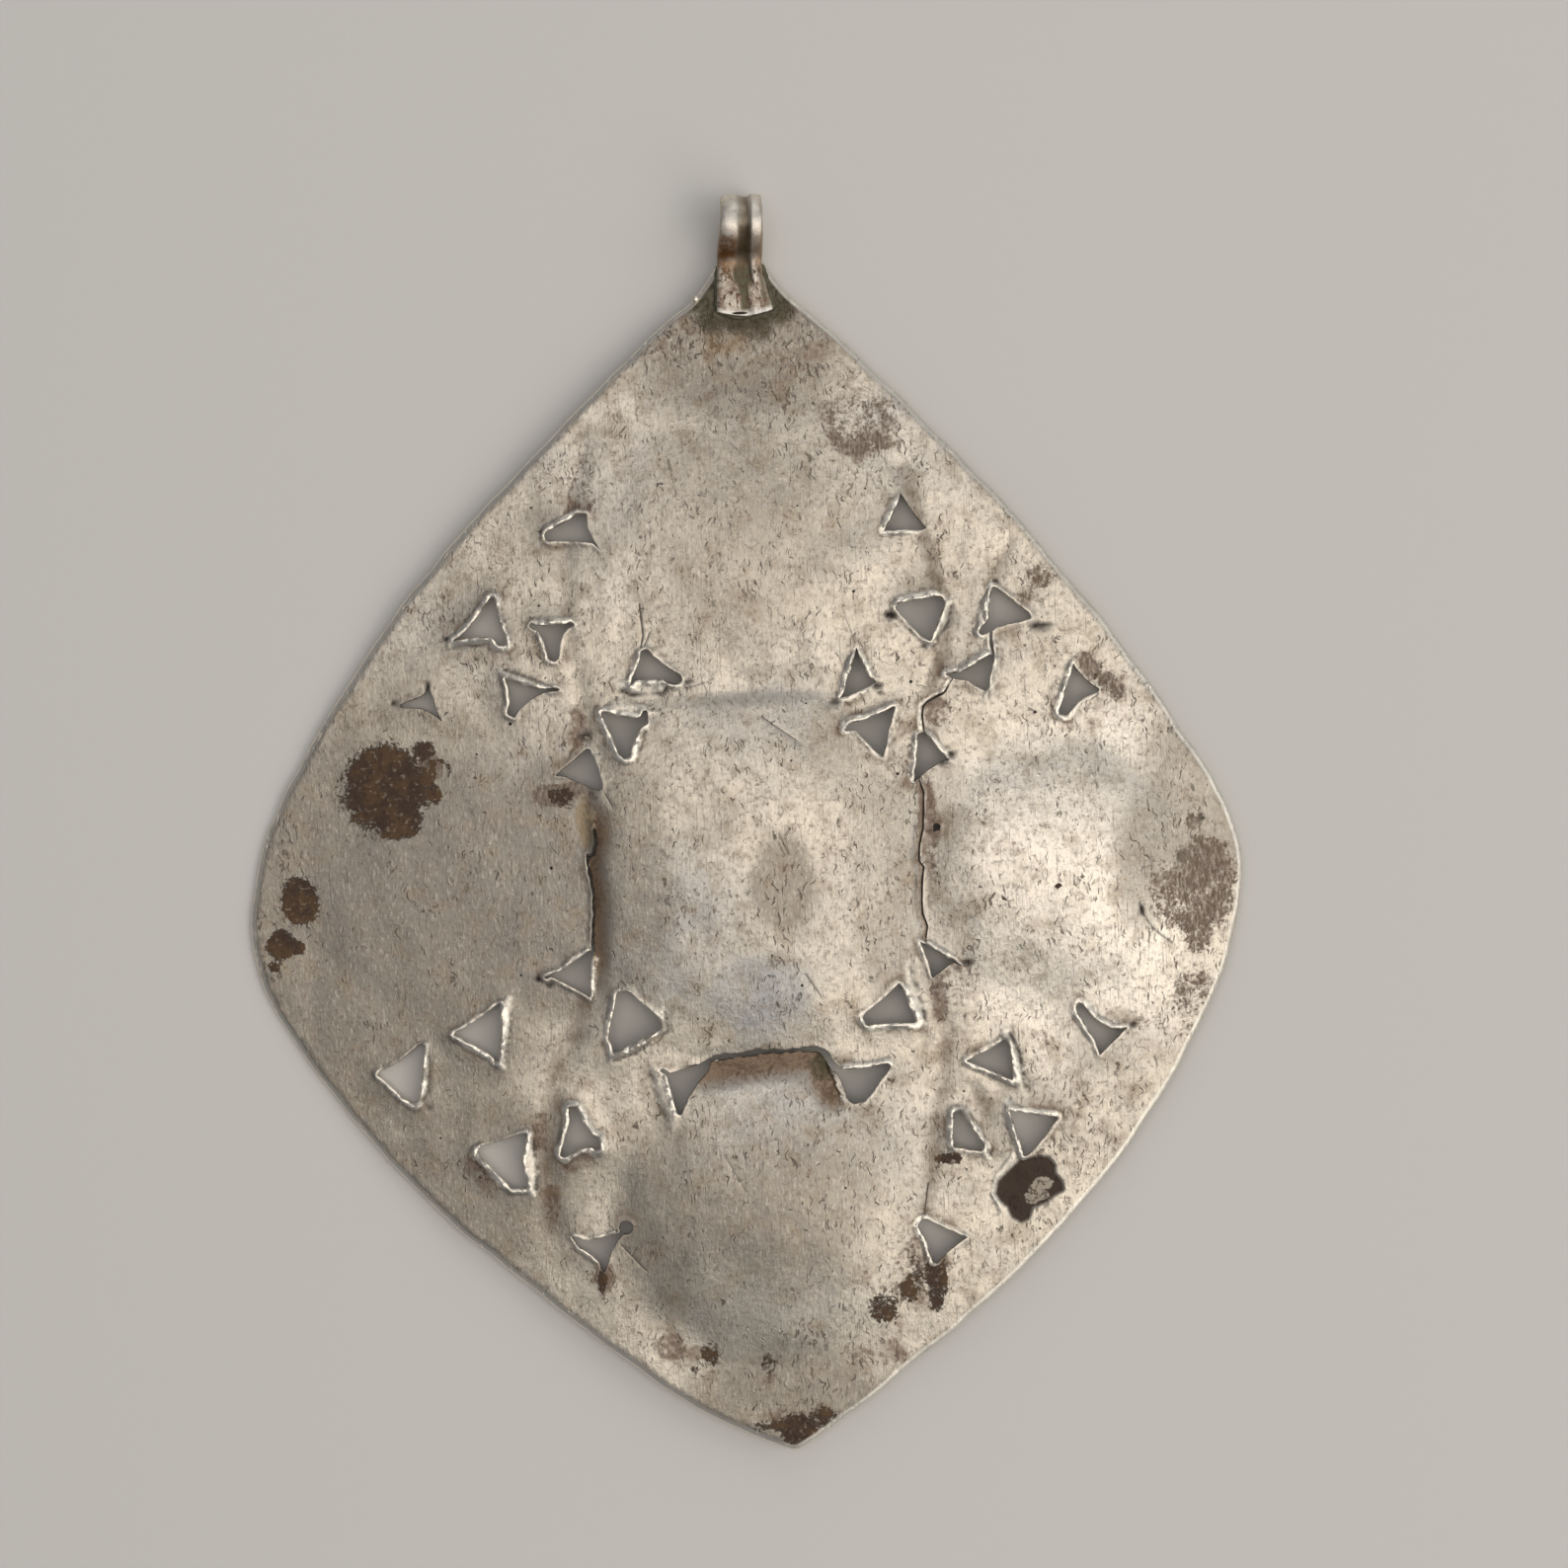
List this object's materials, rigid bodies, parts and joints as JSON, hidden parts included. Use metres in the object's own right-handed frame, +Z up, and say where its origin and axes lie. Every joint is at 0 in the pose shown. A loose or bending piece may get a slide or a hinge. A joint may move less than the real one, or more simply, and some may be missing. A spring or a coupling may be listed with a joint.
{
  "type": "lozenge pendant",
  "caption": "Hammered silver lozenge pendant lying flat, round bosses up, with pierced triangles, torn slits, brown stains and a grooved strip bail at the top.",
  "frame": {"origin": "on the surface that the pendant lies on, midway across its width and midway along its length with the bail", "axes": "+Y from the bottom tip to the bail, +X to the right as the picture shows it, +Z up, out of the bosses"},
  "size_m": [0.0911, 0.115, 0.0054],
  "materials": {
    "silver": "old hammered silver, dull and warm grey, with fine scratches and pits, brown stains, and bright worn rims round the edge and the pierced triangles"
  },
  "bodies": {
    "root": {"pendant": "silver"}
  },
  "joints": []
}
